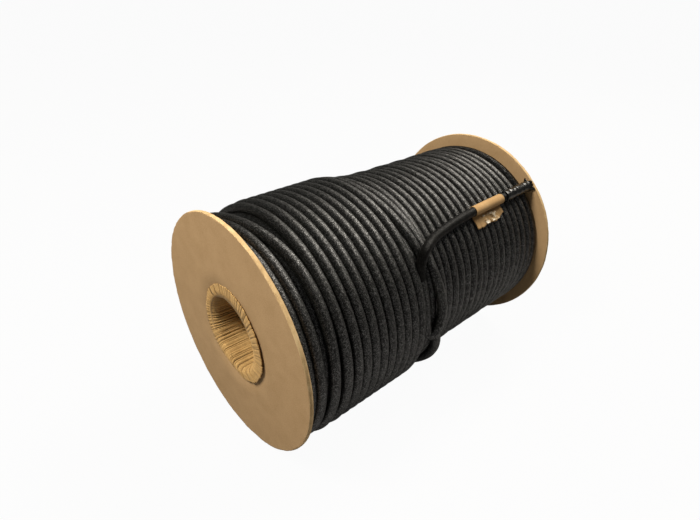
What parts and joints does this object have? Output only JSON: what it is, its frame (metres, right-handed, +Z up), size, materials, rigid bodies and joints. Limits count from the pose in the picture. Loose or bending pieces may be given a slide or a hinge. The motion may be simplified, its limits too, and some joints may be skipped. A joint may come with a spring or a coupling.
{
  "type": "reel of bungee cord",
  "caption": "Board reel with pleated core ends, wound with black braided elastic cord whose tagged free end lies along the winding.",
  "frame": {"origin": "middle of the core tube's bore, on the reel's axis", "axes": "+X along the reel's axis, from the flange whose face the picture shows to the other; +Z up, with the reel lying on its flanges; -Y is the side the picture was taken from"},
  "size_m": [0.3448, 0.224, 0.224],
  "materials": {
    "board": "matt kraft-faced grey board",
    "core_paper": "matt wound kraft paper, pleated at its ends",
    "cord_braid": "braided black polyester over rubber",
    "tag_paper": "matt kraft paper",
    "sleeve_plastic": "shrunk glossy film"
  },
  "bodies": {
    "root": {"flange_near": "board", "flange_far": "board", "core_tube": "core_paper", "cord_winding": "cord_braid", "cord_tail": "cord_braid", "paper_tag": "tag_paper", "end_sleeve": "sleeve_plastic"}
  },
  "joints": []
}
